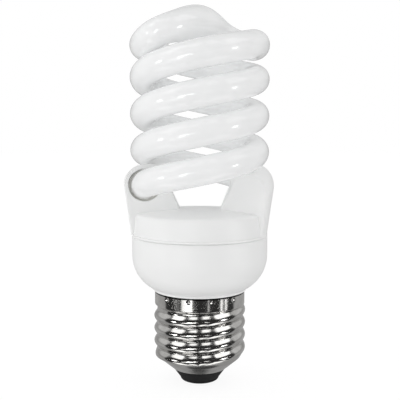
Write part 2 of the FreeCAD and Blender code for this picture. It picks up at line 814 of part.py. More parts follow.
def bridge_point(share, arm):
    """A point of the crossing over the top: a half circle from the coil to the axis, level there."""
    reach = size("coil_radius") / 2
    start = math.radians(size("bridge_azimuth") + 180 * arm)
    middle = Vector(reach * math.cos(start), reach * math.sin(start), 0)
    turn = start + math.pi * share
    low = size("bridge_start")
    high = size("bridge_height")
    slope = size("coil_pitch") / (2 * math.pi * size("coil_radius")) * math.pi * reach
    height = (2 * share ** 3 - 3 * share ** 2 + 1) * low + (share ** 3 - 2 * share ** 2 + share) * slope
    height += (3 * share ** 2 - 2 * share ** 3) * high
    return middle + Vector(reach * math.cos(turn), reach * math.sin(turn), height)


HELIX_STEP = 60.0
BRIDGE_STEPS = 4
NEARBY = 0.0001


def station(point, at):
    """A point of a curve and the curve's heading there."""
    return point(at), (point(at + NEARBY) - point(at - NEARBY)).normalize()


def helix_course(first, last, arm):
    """Stations along one arm of the helix, the last one left out."""
    steps = max(1, round((last - first) / HELIX_STEP))
    return [station(lambda azimuth: helix_point(azimuth, arm), first + (last - first) * step / steps)
            for step in range(steps)]


def tube_course():
    """Stations up the first arm, over the axis and down the second, its copy half a turn on."""
    last = size("bridge_azimuth") + 360 * size("coil_turns")
    course = helix_course(size("entry_end_azimuth"), last, 0)
    course += [station(lambda share: bridge_point(share, 0), step / BRIDGE_STEPS)
               for step in range(BRIDGE_STEPS)]
    down = [(Vector(-point.x, -point.y, point.z), Vector(heading.x, heading.y, -heading.z))
            for point, heading in reversed(course)]
    return course + [station(lambda share: bridge_point(share, 0), 1.0)] + down


def meeting(start, heading, end, arrival):
    """Where two arcs meet that leave start along heading and reach end along arrival."""
    step = end - start
    along = step.dot(heading + arrival)
    spread = 2 * (1 - heading.dot(arrival))
    reach = (math.sqrt(along ** 2 + spread * step.dot(step)) - along) / spread
    return (start + end + (heading - arrival) * reach) / 2


def round_bar(course, radius):
    """A round bar through stations, with two arcs between each pair, so its skin is torus pieces."""
    start, heading = course[0]
    ring = Part.makeCircle(radius)
    ring.Placement = Placement(start, Rotation(Vector(0, 0, 1), Vector(), heading, "ZXY"))
    faces = [Part.Face(Part.Wire([ring]))]
    for (place, leaving), (end, arrival) in zip(course, course[1:]):
        heading = leaving
        for target in (meeting(place, leaving, end, arrival), end):
            chord = target - start
            axis = heading.cross(chord).normalize()
            inward = axis.cross(heading)
            centre = start + inward * (chord.dot(chord) / (2 * inward.dot(chord)))
            angle = 2 * math.degrees(heading.getAngle(chord))
            faces += ring.revolve(centre, axis, angle).Faces
            ring = ring.rotated(centre, axis, angle)
            heading = Rotation(axis, angle).multVec(heading)
            start = target
    faces.append(Part.Face(Part.Wire([ring])))
    skin = Part.makeCompound(faces)
    skin.sewShape()
    bar = Part.Solid(skin)
    if bar.Volume < 0:
        bar.reverse()
    return bar


def pipe(path, radius):
    """A round bar of one radius along a path of straight runs and bends."""
    edge = path.Edges[0]
    section = Part.makeCircle(radius)
    section.Placement = Placement(edge.valueAt(edge.FirstParameter),
                                  Rotation(Vector(0, 0, 1), edge.tangentAt(edge.FirstParameter)))
    return path.makePipeShell([Part.Wire([section])], True, True)


def feature(name, shape):
    thing = doc.addObject("Part::Feature", name)
    thing.Shape = shape
    return thing


def discharge_tube():
    """The sealed glass tube, up one arm, over the axis and down the other; it can't be seen into."""
    return feature("discharge_tube", round_bar(tube_course(), size("tube_radius")))


def tube_cement(tube):
    """White cement that holds each leg of the tube in its socket."""
    collars = []
    for arm in (0, 1):
        first = size("cement_start")
        last = size("cement_end")
        course = helix_course(first, last, arm) + [station(lambda azimuth: helix_point(azimuth, arm), last)]
        collars.append(round_bar(course, size("tube_radius + hood_gap - cement_clearance")).cut(tube.Shape))
    return feature("tube_cement", Part.makeCompound(collars))


def bent_path(points, bend):
    """Straight runs joined by tangent arcs of one radius."""
    edges = []
    start = points[0]
    for before, corner, after in zip(points, points[1:], points[2:]):
        back = (before - corner).normalize()
        on = (after - corner).normalize()
        half = back.getAngle(on) / 2
        trim = bend / math.tan(half)
        enter = corner + back * trim
        leave = corner + on * trim
        bisector = (back + on).normalize()
        apex = corner + bisector * (bend / math.sin(half) - bend)
        edges.append(Part.LineSegment(start, enter).toShape())
        edges.append(Part.Arc(enter, apex, leave).toShape())
        start = leave
    edges.append(Part.LineSegment(start, points[-1]).toShape())
    return Part.Wire(edges)


def spot(x, y, z):
    return Vector(size(x), size(y), size(z))


def live_lead():
    """The insulated wire from the board to the fusible resistor in the cap."""
    points = [spot("live_x", "live_y", "board_bottom"), spot("live_x", "live_y", "live_turn_height"),
              spot("0", "0", "live_centre_height"), spot("0", "0", "fuse_bottom + fuse_length")]
    return feature("live_lead", pipe(bent_path(points, size("wire_bend / 3")), size("wire_radius")))


def fusible_resistor():
    """The fusible resistor that hangs in the cap, with its lower lead soldered in the contact's bore."""
    body = cylinder("fuse_body", "fuse_radius", "fuse_length", "0", "0", "fuse_bottom")
    tail = cylinder("fuse_tail", "lead_radius", "fuse_bottom - solder_thickness", "0", "0",
                    "solder_thickness")
    return join("fusible_resistor", [body, tail])


def neutral_lead():
    """The insulated wire from the board through the neck to the inside of the shell."""
    touch = "-sqrt((root_radius - shell_wall) ^ 2 - (neutral_x + wire_radius) ^ 2)"
    points = [spot("neutral_x", "neutral_y", "board_bottom"),
              spot("neutral_x", "neutral_y", "lead_hole_height"),
              spot("neutral_x", touch, "lead_hole_height")]
    return feature("neutral_lead", pipe(bent_path(points, size("wire_bend")), size("wire_radius")))


def pin_place(number, arm):
    azimuth = math.radians(size("pin_azimuth") + (2 * number - 1) * size("pin_spread") + 180 * arm)
    return size("pin_circle") * math.cos(azimuth), size("pin_circle") * math.sin(azimuth)


def wrap_pins():
    """Four round pins in the board that the tube's wires are wrapped round."""
    pins = []
    for arm in (0, 1):
        for sign in "-+":
            azimuth = f"(pin_azimuth {sign} pin_spread + {180 * arm}) * 1 deg"
            x = f"pin_circle * cos({azimuth})"
            y = f"pin_circle * sin({azimuth})"
            lead_places.append((x, y, "pin_radius + hole_clearance"))
            pins.append(cylinder("wrap_pin", "pin_radius", "pin_tail + board_thickness + pin_height", x, y,
                                 "board_bottom - pin_tail"))
    return group("wrap_pins", pins)


def filament_leads(name, arm):
    """The two wires that leave one end of the tube and run down to their pins."""
    first = size("entry_end_azimuth")
    end = helix_point(first, arm)
    inward = (helix_point(first, arm) - helix_point(first + 0.1, arm)).normalize()
    radial = Vector(end.x, end.y, 0).normalize()
    top = size(f"{BOARD_TOP} + pin_height")
    wires = []
    for number in (0, 1):
        side = size("filament_spread") * (1 if number else -1)
        start = end + radial * side
        out = start + inward * size("filament_reach")
        x, y = pin_place(number, arm)
        level = top + 2 * size("filament_reach")
        points = [start, out, Vector(out.x, out.y, level), Vector(x, y, level - size("filament_reach") / 2),
                  Vector(x, y, top)]
        wires.append(pipe(bent_path(points, size("filament_bend")), size("filament_wire_radius")))
    return feature(name, Part.makeCompound(wires))


def label_nodes(nodes):
    """Gives each sub-part its own label, and each helper a label that can't be taken for one."""
    names = {node.Name for node in nodes}
    for thing in doc.Objects:
        if thing.Name not in names and hasattr(thing, "Shape") and thing.TypeId.startswith("Part::"):
            thing.Label = "of_" + thing.Name
    for node in nodes:
        node.Label = node.Name


def build():
    tube = discharge_tube()
    nodes = [
        tube, tube_cover(), ballast_housing(), cap_shell(), cap_insulator(), centre_contact(),
        contact_solder(), bulk_capacitor(), choke_core(), choke_bobbin(), choke_winding(),
        toroid_core(), toroid_winding(), film_capacitor("resonant"), film_capacitor("coupling"),
        transistor("transistor_high"), transistor("transistor_low"), rectifier_diodes(),
        resistors(), diac(), live_lead(), fusible_resistor(), neutral_lead(), wrap_pins(),
        filament_leads("filament_leads_left", 0), filament_leads("filament_leads_right", 1),
        tube_cement(tube),
    ]
    nodes.append(circuit_board())
    doc.recompute()
    label_nodes(nodes)
    return nodes


def check(thing):
    if set(thing.State) & {"Invalid", "Error"}:
        raise RuntimeError(f"{thing.Name} failed: {thing.State}")


def export(nodes):
    os.makedirs("parts", exist_ok=True)
    for thing in doc.Objects:
        check(thing)
    for node in nodes:
        if node.Shape.isNull() or not node.Shape.isValid():
            raise RuntimeError(f"{node.Label} has no valid shape")
    for node in nodes:
        node.Shape.exportStep(f"parts/{node.Label}.step")
        print(node.Label, "volume", round(node.Shape.Volume, 1), "solids", len(node.Shape.Solids))


export(build())
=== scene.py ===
import json
import math

import bmesh
import bpy
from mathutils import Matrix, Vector


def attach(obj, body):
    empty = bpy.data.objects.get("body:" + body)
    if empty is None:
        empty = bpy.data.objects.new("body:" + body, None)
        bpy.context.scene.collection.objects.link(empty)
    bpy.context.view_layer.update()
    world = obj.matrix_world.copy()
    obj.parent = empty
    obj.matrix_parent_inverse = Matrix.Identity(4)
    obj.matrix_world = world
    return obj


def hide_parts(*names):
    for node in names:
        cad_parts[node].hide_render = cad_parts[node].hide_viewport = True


# Spiral energy saving lamp, cap down, axis on +Z, in millimetres and degrees.
# An azimuth on the lamp runs from +X towards +Y. The studio is in metres.

MM = 0.001
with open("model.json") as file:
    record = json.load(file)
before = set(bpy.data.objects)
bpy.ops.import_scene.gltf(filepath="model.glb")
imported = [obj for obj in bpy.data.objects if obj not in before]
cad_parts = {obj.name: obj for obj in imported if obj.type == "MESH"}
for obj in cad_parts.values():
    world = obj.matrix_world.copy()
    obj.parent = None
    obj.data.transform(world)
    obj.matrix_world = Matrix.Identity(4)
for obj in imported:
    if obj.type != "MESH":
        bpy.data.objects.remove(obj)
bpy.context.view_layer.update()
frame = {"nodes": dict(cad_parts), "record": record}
nodes = frame["nodes"]

# Sizes shared with the solids; the bowl's radius is rounded to a tenth
TUBE_RADIUS = 3.84
COIL_RADIUS = 15.7
COIL_PITCH = 20.2
COIL_TURNS = 2.0
ENTRY_HEIGHT = 56.2
ENTRY_END = 163.0
PARTING_HEIGHT = 42.5
RIM_RADIUS = 19.3
BOWL_RADIUS = 10.7
BOWL_HEIGHT = 36.9
LIP_HEIGHT = 26.7
COLLAR_RADIUS = 12.9
ROOT_RADIUS = 12.2
THREAD_RADIUS = 13.12
THREAD_PITCH = 3.629
THREAD_TURNS = 3.6
SHELL_WALL = 0.35

# The crossing over the top: only the scene has this form, fitted to the outline in the photo
BRIDGE_AZIMUTH = 203.3
BRIDGE_HEIGHT = 100.85
CROSSING_HEADING = 60.0
LEAVING_PULL = 32.25
CROSSING_PULL = 25.0
CROWN_START_TURNS = 1.6
CROWN_SWELL = 1.9
CROWN_REACH = 15.6
CROWN_DIP = 1.75
DIP_ANGLE = 48.9
DIP_SHARE = 0.5
DIP_SCALE = 16
ARM_STEPS = 300
CROSSING_STEPS = 36
TUBE_SIDES = 48

# The sealed end of the glass: rings as (distance along the line, share of the radius)
END_RINGS = [(0.0, 0.02), (0.0, 0.6), (0.05, 0.86), (0.25, 0.97), (0.6, 1.0)]

# The cap: places where the scene follows the photo and the solids lie a little lower
COLLAR_BOTTOM = 22.7
THREAD_START = 8.25

# The cap: the rest of the shell's form
COLLAR_EDGE = 0.15
COLLAR_EDGE_INSET = 0.12
COLLAR_STEP = 0.55
THREAD_LOW = 8.0
THREAD_RUN_IN = (-0.12, 0.1)
THREAD_RUN_OUT = (THREAD_TURNS - 0.05, THREAD_TURNS + 0.2)
CREST_POWER = 0.62
COLLAR_ROWS = 16
STEP_ROWS = 8
THREAD_ROWS = 96
SHELL_COLUMNS = 288

# The cone under the thread, as (radius, height, share of the thread)
FOOT_CONE = [(12.05, 7.75, 0.8), (11.75, 7.3, 0.5), (11.3, 6.85, 0.25), (10.7, 6.35, 0.1), (10.0, 5.75, 0.0),
             (9.3, 5.15, 0.0), (8.6, 4.55, 0.0), (8.0, 4.05, 0.0), (7.62, 3.74, 0.0)]

# Between these heights the metal turns dark: painted shade for the shadow gap under the lip
PAINTED_SHADE_HEIGHTS = (26.12, 26.28)

# The row of punch marks near the top of the collar
PUNCH_AZIMUTH = 16
PUNCH_SPACING = 30
PUNCH_HEIGHT = 25.5
PUNCH_RADIUS = 0.62
PUNCH_DEPTH = 0.26

# The lower housing: neck, light ring at the lip, bowl, and ledge for the board
NECK_BORE = 10.55
NECK_BOTTOM = 9.5
NECK_RADIUS = 11.8
NECK_SHOULDER = (22.1, 22.9)
NECK_TOP_RADIUS = 12.45
SEAT_GAP = 0.02
BOWL_BOTTOM = 27.45
BOWL_STEPS = 40
BOWL_INSIDE = 8.5
BOWL_INSIDE_ANGLES = range(-8, -66, -8)
BORE_TOP = 28.6
WALL_INSIDE = 18.0
LEDGE_RADIUS = 17.1
LEDGE_HEIGHT = 38.5
SKIRT_ROW = 40.5

# The light ring at the lip, as (radius, height over the lip)
LIP_RING = [(13.1, 0.02), (13.3, 0.06), (13.42, 0.2), (13.42, 0.42), (13.3, 0.58)]

# The groove at the parting line, as (inset from the rim, drop below the parting line)
GROOVE = [(0.0, 0.38), (0.03, 0.33), (0.08, 0.31), (0.6, 0.3), (0.64, 0.0)]

LATHE_SEGMENTS = 192


# Mesh helpers

def link(thing):
    bpy.context.scene.collection.objects.link(thing)
    return thing


def mesh_object(name, points, faces):
    mesh = bpy.data.meshes.new(name)
    mesh.from_pydata([(x * MM, y * MM, z * MM) for x, y, z in points], [], faces)
    mesh.update()
    piece = link(bpy.data.objects.new(name, mesh))
    shell = bmesh.new()
    shell.from_mesh(mesh)
    bmesh.ops.remove_doubles(shell, verts=shell.verts, dist=1e-7)
    bmesh.ops.recalc_face_normals(shell, faces=shell.faces)
    shell.to_mesh(mesh)
    shell.free()
    for face in mesh.polygons:
        face.use_smooth = True
    return piece


def grid_faces(rows, columns, wrap_rows=False):
    """Quads between rings of points; each ring is closed."""
    faces = []
    last = rows if wrap_rows else rows - 1
    for row in range(last):
        for column in range(columns):
            right = (column + 1) % columns
            up = (row + 1) % rows
            faces.append((row * columns + column, row * columns + right,
                          up * columns + right, up * columns + column))
    return faces


def lathe(name, outline):
    """Turns a closed outline of (radius, height) points about the lamp's axis."""
    points = []
    for radius, height in outline:
        for number in range(LATHE_SEGMENTS):
            angle = 2 * math.pi * number / LATHE_SEGMENTS
            points.append((radius * math.cos(angle), radius * math.sin(angle), height))
    return mesh_object(name, points, grid_faces(len(outline), LATHE_SEGMENTS, wrap_rows=True))


def arc(across, height, radius, angles):
    """The (radius, height) points of a round stretch of an outline; its angles are in radians."""
    return [(across + radius * math.cos(angle), height + radius * math.sin(angle)) for angle in angles]


def smooth_step(value, low, high):
    share = min(1.0, max(0.0, (value - low) / (high - low)))
    return share * share * (3 - 2 * share)


# Discharge tube

def dip(share):
    """How far an arm hangs below its plain curve: CROWN_DIP half way, nothing at 0 (coil) or 1 (axis)."""
    share = max(share, 0.0)
    return CROWN_DIP * DIP_SCALE * share ** 2 * (1 - share) ** 2


def helix_point(azimuth):
    turn = math.radians(azimuth)
    height = ENTRY_HEIGHT + COIL_PITCH * (azimuth - 180) / 360
    height -= dip(DIP_SHARE * (azimuth - BRIDGE_AZIMUTH - 360 * COIL_TURNS + DIP_ANGLE) / DIP_ANGLE)
    return Vector((COIL_RADIUS * math.cos(turn), COIL_RADIUS * math.sin(turn), height))


def bridge_point(share):
    """The crossing over the top: it leaves the coil along its course and is level at the axis."""
    start = math.radians(BRIDGE_AZIMUTH)
    end = math.radians(CROSSING_HEADING)
    stay = 2 * share ** 3 - 3 * share ** 2 + 1
    leave = share ** 3 - 2 * share ** 2 + share
    arrive = share ** 3 - share ** 2
    x = stay * COIL_RADIUS * math.cos(start) - leave * LEAVING_PULL * math.sin(start)
    y = stay * COIL_RADIUS * math.sin(start) + leave * LEAVING_PULL * math.cos(start)
    x += arrive * CROSSING_PULL * math.cos(end)
    y += arrive * CROSSING_PULL * math.sin(end)
    height = stay * (ENTRY_HEIGHT + COIL_PITCH * (COIL_TURNS + (BRIDGE_AZIMUTH - 180) / 360))
    height += leave * LEAVING_PULL * COIL_PITCH / (2 * math.pi * COIL_RADIUS) + (1 - stay) * BRIDGE_HEIGHT
    return Vector((x, y, height - dip(DIP_SHARE + (1 - DIP_SHARE) * share)))


def tube_line():
    """The centre line from the left end to the right end; the second arm is the first turned half round."""
    span = BRIDGE_AZIMUTH + 360 * COIL_TURNS - ENTRY_END
    arm = [helix_point(ENTRY_END + span * step / ARM_STEPS) for step in range(ARM_STEPS)]
    arm += [bridge_point(step / CROSSING_STEPS) for step in range(CROSSING_STEPS)]
    other = [Vector((-point.x, -point.y, point.z)) for point in reversed(arm)]
    return arm + [Vector((0, 0, BRIDGE_HEIGHT))] + other


def tube_radius(point):
    """The glass is fuller where it crosses the axis over the top."""
    if point.z < ENTRY_HEIGHT + CROWN_START_TURNS * COIL_PITCH:
        return TUBE_RADIUS
    return TUBE_RADIUS + CROWN_SWELL * (1 - smooth_step(math.hypot(point.x, point.y), 0, CROWN_REACH))


def spiral_tube():
    """The whole tube as rings along the line, with its two sealed ends rounded over."""
    line = tube_line()
    last = len(line) - 1
    points = []
    side = Vector((0, 0, 1))
    for index, point in enumerate(line):
        along = (line[min(index + 1, last)] - line[max(index - 1, 0)]).normalized()
        side = (side - along * side.dot(along)).normalized()
        across = along.cross(side)
        rings = [(0.0, 1.0)]
        if index == 0:
            rings = END_RINGS
        elif index == last:
            rings = [(-shift, share) for shift, share in reversed(END_RINGS)]
        for shift, share in rings:
            centre = point + along * shift
            radius = tube_radius(point) * share
            for number in range(TUBE_SIDES):
                angle = 2 * math.pi * number / TUBE_SIDES
                spot = centre + side * (radius * math.cos(angle)) + across * (radius * math.sin(angle))
                points.append((spot.x, spot.y, spot.z))
    rows = len(points) // TUBE_SIDES
    faces = grid_faces(rows, TUBE_SIDES)
    faces.append(tuple(range(TUBE_SIDES)))
    faces.append(tuple(range((rows - 1) * TUBE_SIDES, rows * TUBE_SIDES)))
    return mesh_object("spiral_tube", points, faces)


# Screw cap

def thread_rise(azimuth, height):
    """How far the knuckle thread stands out at a place on the shell, with a run-out at each end."""
    turns = (height - THREAD_START) / THREAD_PITCH
    phase = (azimuth - 180) / 360
    crest = round(turns - phase)
    offset = turns - phase - crest
    along = crest + phase
    run = smooth_step(along, *THREAD_RUN_IN) * (1 - smooth_step(along, *THREAD_RUN_OUT))
    wave = (0.5 + 0.5 * math.cos(2 * math.pi * offset)) ** CREST_POWER
    return (THREAD_RADIUS - ROOT_RADIUS) * wave * run


def punch_depth(azimuth, height):
    """The row of small round punch marks."""
    half = PUNCH_SPACING / 2
    offset = (azimuth - PUNCH_AZIMUTH + half) % PUNCH_SPACING - half
    across = math.radians(offset) * COLLAR_RADIUS
    away = math.hypot(across / PUNCH_RADIUS, (height - PUNCH_HEIGHT) / PUNCH_RADIUS)
    if away >= 1:
        return 0.0
    return PUNCH_DEPTH * (1 - away * away) ** 1.5


def shell_rows():
    """(radius, height, thread) down the outside of the shell; thread scales the knuckle thread there."""
    top = LIP_HEIGHT - COLLAR_EDGE
    collar = LIP_HEIGHT - 2 * COLLAR_EDGE - COLLAR_BOTTOM
    rows = [(COLLAR_RADIUS - COLLAR_EDGE_INSET, LIP_HEIGHT, 0.0), (COLLAR_RADIUS, top, 0.0)]
    rows += [(COLLAR_RADIUS, top - collar * step / COLLAR_ROWS, 0.0) for step in range(1, COLLAR_ROWS + 1)]
    low = COLLAR_BOTTOM - COLLAR_STEP
    for step in range(1, STEP_ROWS + 1):
        share = step / STEP_ROWS
        bend = smooth_step(share, 0.0, 1.0)
        rows.append((COLLAR_RADIUS + (ROOT_RADIUS - COLLAR_RADIUS) * bend,
                     COLLAR_BOTTOM + COLLAR_EDGE + (low - COLLAR_BOTTOM - COLLAR_EDGE) * share, bend))
    rows += [(ROOT_RADIUS, low + (THREAD_LOW - low) * step / THREAD_ROWS, 1.0)
             for step in range(1, THREAD_ROWS + 1)]
    return rows + FOOT_CONE


def cap_shell():
    """The pressed shell as a thin wall: the thread shows inside it too, on every third row."""
    outer = shell_rows()
    inner = [(radius - SHELL_WALL, height, thread) for radius, height, thread in reversed(outer)][::3]
    inner[0] = (outer[-1][0], outer[-1][1] + SHELL_WALL, 0.0)
    inner.append((COLLAR_RADIUS - SHELL_WALL, LIP_HEIGHT, 0.0))
    points = []
    for radius, height, thread in outer + inner:
        for number in range(SHELL_COLUMNS):
            azimuth = 360 * number / SHELL_COLUMNS
            turn = math.radians(azimuth)
            reach = radius + thread * thread_rise(azimuth, height) - punch_depth(azimuth, height)
            points.append((reach * math.cos(turn), reach * math.sin(turn), height))
    faces = grid_faces(len(outer) + len(inner), SHELL_COLUMNS, wrap_rows=True)
    return mesh_object("threaded_shell", points, faces)


# Lower housing

def housing():
    """The lower moulding with its light ring at the lip and the neck that goes into the shell."""
    outline = [(NECK_BORE, NECK_BOTTOM), (NECK_RADIUS, NECK_BOTTOM), (NECK_RADIUS, NECK_SHOULDER[0]),
               (NECK_TOP_RADIUS, NECK_SHOULDER[1]), (NECK_TOP_RADIUS, LIP_HEIGHT + SEAT_GAP)]
    outline += [(radius, LIP_HEIGHT + rise) for radius, rise in LIP_RING]
    centre = RIM_RADIUS - BOWL_RADIUS
    first = math.asin((BOWL_BOTTOM - BOWL_HEIGHT) / BOWL_RADIUS)
    sweep = [first * (1 - step / BOWL_STEPS) for step in range(BOWL_STEPS + 1)]
    outline += arc(centre, BOWL_HEIGHT, BOWL_RADIUS, sweep)
    outline += [(RIM_RADIUS, LEDGE_HEIGHT), (RIM_RADIUS, SKIRT_ROW)]
    outline += [(RIM_RADIUS - inset, PARTING_HEIGHT - drop) for inset, drop in GROOVE]
    outline += [(WALL_INSIDE, PARTING_HEIGHT), (WALL_INSIDE, LEDGE_HEIGHT), (LEDGE_RADIUS, LEDGE_HEIGHT),
                (LEDGE_RADIUS, BOWL_HEIGHT)]
    outline += arc(centre, BOWL_HEIGHT, BOWL_INSIDE, [math.radians(angle) for angle in BOWL_INSIDE_ANGLES])
    outline += [(NECK_BORE, BORE_TOP)]
    return lathe("lower_housing", outline)


# Materials

def new_material(name):
    material = bpy.data.materials.new(name)
    material.use_nodes = True
    tree = material.node_tree
    return material, tree, tree.nodes["Principled BSDF"]


def object_noise(tree, scale, detail, stretch=(1, 1, 1)):
    """Noise in the object's own space: a scale of 1000 is about one grain a millimetre."""
    place = tree.nodes.new("ShaderNodeTexCoord")
    spread = tree.nodes.new("ShaderNodeMapping")
    spread.inputs["Scale"].default_value = stretch
    noise = tree.nodes.new("ShaderNodeTexNoise")
    noise.inputs["Scale"].default_value = scale
    noise.inputs["Detail"].default_value = detail
    tree.links.new(place.outputs["Object"], spread.inputs["Vector"])
    tree.links.new(spread.outputs["Vector"], noise.inputs["Vector"])
    return noise.outputs["Fac"]


def two_tones(tree, factor, low, high):
    """Drifts from one tone to the other over the middle of the factor's range."""
    ramp = tree.nodes.new("ShaderNodeValToRGB")
    for element, position, tone in zip(ramp.color_ramp.elements, (0.35, 0.65), (low, high)):
        element.position = position
        element.color = (*tone, 1)
    tree.links.new(factor, ramp.inputs["Fac"])
    return ramp.outputs["Color"]


def remap(tree, factor, low, high):
    span = tree.nodes.new("ShaderNodeMapRange")
    span.inputs["To Min"].default_value = low
    span.inputs["To Max"].default_value = high
    tree.links.new(factor, span.inputs["Value"])
    return span.outputs["Result"]


def add_bump(tree, shader, height, distance):
    bump = tree.nodes.new("ShaderNodeBump")
    bump.inputs["Strength"].default_value = 1.0
    bump.inputs["Distance"].default_value = distance
    tree.links.new(height, bump.inputs["Height"])
    tree.links.new(bump.outputs["Normal"], shader.inputs["Normal"])
    return bump.outputs["Normal"]


def calc(tree, operation, first, second=None):
    """One step of arithmetic on one or two values, each a number or a socket."""
    node = tree.nodes.new("ShaderNodeMath")
    node.operation = operation
    for socket, value in zip(node.inputs, (first, second)):
        if value is None:
            continue
        if isinstance(value, (int, float)):
            socket.default_value = value
        else:
            tree.links.new(value, socket)
    return node.outputs[0]


def fade(tree, value, start, end):
    """1 below start, 0 above end, with a soft change between."""
    span = tree.nodes.new("ShaderNodeMapRange")
    span.interpolation_type = "SMOOTHSTEP"
    span.inputs["From Min"].default_value = start
    span.inputs["From Max"].default_value = end
    span.inputs["To Min"].default_value = 1.0
    span.inputs["To Max"].default_value = 0.0
    tree.links.new(value, span.inputs["Value"])
    return span.outputs[0]


def grained(name, low, high, roughness, grain, depth, metallic=0.0, patches=120, coat=0.0, stretch=(1, 1, 1),
            specular=0.5):
    """A material with drifting tone, uneven gloss and a fine grain of a given scale and depth in metres."""
    material, tree, shader = new_material(name)
    drift = object_noise(tree, patches, 4.0, stretch)
    tree.links.new(two_tones(tree, drift, low, high), shader.inputs["Base Color"])
    fine = object_noise(tree, grain, 2.0, stretch)
    tree.links.new(remap(tree, fine, *roughness), shader.inputs["Roughness"])
    add_bump(tree, shader, fine, depth)
    shader.inputs["Metallic"].default_value = metallic
    shader.inputs["Specular IOR Level"].default_value = specular
    if coat:
        shader.inputs["Coat Weight"].default_value = coat
        shader.inputs["Coat Roughness"].default_value = 0.04
    return material


def tube_glass():
    """White coated glass: a powdery white under a clear glossy skin that is faintly wavy."""
    material, tree, shader = new_material("tube_glass")
    cloud = object_noise(tree, 160, 4.0)
    white = two_tones(tree, cloud, (0.90, 0.905, 0.907), (0.92, 0.924, 0.926))
    tree.links.new(white, shader.inputs["Base Color"])
    speck = object_noise(tree, 1400, 2.0)
    tree.links.new(remap(tree, speck, 0.42, 0.52), shader.inputs["Roughness"])
    shader.inputs["Coat Weight"].default_value = 1.0
    shader.inputs["Coat Roughness"].default_value = 0.02
    shader.inputs["Coat IOR"].default_value = 1.5
    shader.inputs["Specular IOR Level"].default_value = 0.3
    wave = object_noise(tree, 90, 1.0)
    wavy = add_bump(tree, shader, wave, 0.00004)
    tree.links.new(wavy, shader.inputs["Coat Normal"])
    return material


def shell_metal():
    """Nickel-plated sheet: bright, rubbed round the shell, with duller patches and a band of painted shade
    under the lip.
    """
    material, tree, shader = new_material("cap_metal")
    tarnish = object_noise(tree, 260, 5.0)
    plain = two_tones(tree, tarnish, (0.66, 0.65, 0.63), (0.80, 0.79, 0.77))
    place = tree.nodes.new("ShaderNodeTexCoord")
    axes = tree.nodes.new("ShaderNodeSeparateXYZ")
    tree.links.new(place.outputs["Object"], axes.inputs[0])
    # Painted shade: towards the top of the collar the colour fades to near black, standing in for the shadow
    # gap under the lip
    start, end = PAINTED_SHADE_HEIGHTS
    below_painted_shade = fade(tree, axes.outputs["Z"], start * MM, end * MM)
    tone = tree.nodes.new("ShaderNodeMix")
    tone.data_type = "RGBA"
    # Sockets of a colour mix: 0 is the factor, 6 and 7 are the colours at 0 and 1, and output 2 is the result
    tone.inputs[6].default_value = (0.02, 0.02, 0.02, 1)
    tree.links.new(below_painted_shade, tone.inputs[0])
    tree.links.new(plain, tone.inputs[7])
    tree.links.new(tone.outputs[2], shader.inputs["Base Color"])
    rub = object_noise(tree, 500, 3.0, (0.5, 0.5, 6.0))
    tree.links.new(remap(tree, rub, 0.09, 0.2), shader.inputs["Roughness"])
    shader.inputs["Metallic"].default_value = 1.0
    dent = object_noise(tree, 420, 2.0)
    add_bump(tree, shader, dent, 0.00003)
    return material


# The plainer materials, as grained() takes them
GRAINED = {
    "white_plastic": dict(low=(0.845, 0.848, 0.845), high=(0.865, 0.868, 0.865), roughness=(0.34, 0.46),
                          grain=2600, depth=0.000006, patches=60),
    "insulator_black": dict(low=(0.003, 0.003, 0.0035), high=(0.007, 0.007, 0.0075), roughness=(0.5, 0.65),
                            grain=3000, depth=0.00001, specular=0.25),
    "contact_metal": dict(low=(0.66, 0.6, 0.42), high=(0.74, 0.68, 0.48), roughness=(0.18, 0.34),
                          grain=1500, depth=0.00001, metallic=1.0),
    "tin": dict(low=(0.55, 0.55, 0.56), high=(0.72, 0.72, 0.73), roughness=(0.2, 0.4),
                grain=2500, depth=0.00001, metallic=1.0),
    "capacitor_sleeve": dict(low=(0.02, 0.03, 0.07), high=(0.03, 0.045, 0.1), roughness=(0.2, 0.3),
                             grain=900, depth=0.00001),
    "ferrite": dict(low=(0.03, 0.03, 0.032), high=(0.07, 0.07, 0.072), roughness=(0.6, 0.8),
                    grain=3000, depth=0.00002),
    "bobbin_plastic": dict(low=(0.02, 0.02, 0.02), high=(0.035, 0.035, 0.035), roughness=(0.4, 0.5),
                           grain=1500, depth=0.000008),
    "copper_wire": dict(low=(0.5, 0.2, 0.08), high=(0.72, 0.32, 0.13), roughness=(0.15, 0.35),
                        grain=1200, depth=0.00005, metallic=1.0, stretch=(0.4, 0.4, 5.0)),
    "film_coating": dict(low=(0.36, 0.06, 0.03), high=(0.46, 0.09, 0.04), roughness=(0.15, 0.25),
                         grain=900, depth=0.00002),
    "transistor_plastic": dict(low=(0.015, 0.015, 0.015), high=(0.03, 0.03, 0.03), roughness=(0.5, 0.7),
                               grain=3500, depth=0.00001),
    "resistor_coating": dict(low=(0.5, 0.38, 0.22), high=(0.6, 0.47, 0.3), roughness=(0.4, 0.55),
                             grain=1500, depth=0.00001),
    "diac_glass": dict(low=(0.04, 0.08, 0.3), high=(0.06, 0.12, 0.4), roughness=(0.1, 0.15),
                       grain=800, depth=0.000005, coat=1.0),
    "wire_insulation": dict(low=(0.6, 0.6, 0.58), high=(0.7, 0.7, 0.68), roughness=(0.4, 0.5),
                            grain=1200, depth=0.00001),
    "cement": dict(low=(0.5, 0.5, 0.48), high=(0.66, 0.66, 0.63), roughness=(0.8, 0.95),
                   grain=1500, depth=0.0001),
    "board_laminate": dict(low=(0.42, 0.29, 0.12), high=(0.52, 0.37, 0.17), roughness=(0.45, 0.6),
                           grain=900, depth=0.00001, stretch=(1, 4, 1)),
}

LOOKS = {name: grained(name, **values) for name, values in GRAINED.items()}
LOOKS["tube_glass"] = tube_glass()
LOOKS["cap_metal"] = shell_metal()

slots = {entry["node"]: entry["material_slot"] for entry in frame["record"]["subparts"]}


# The lamp

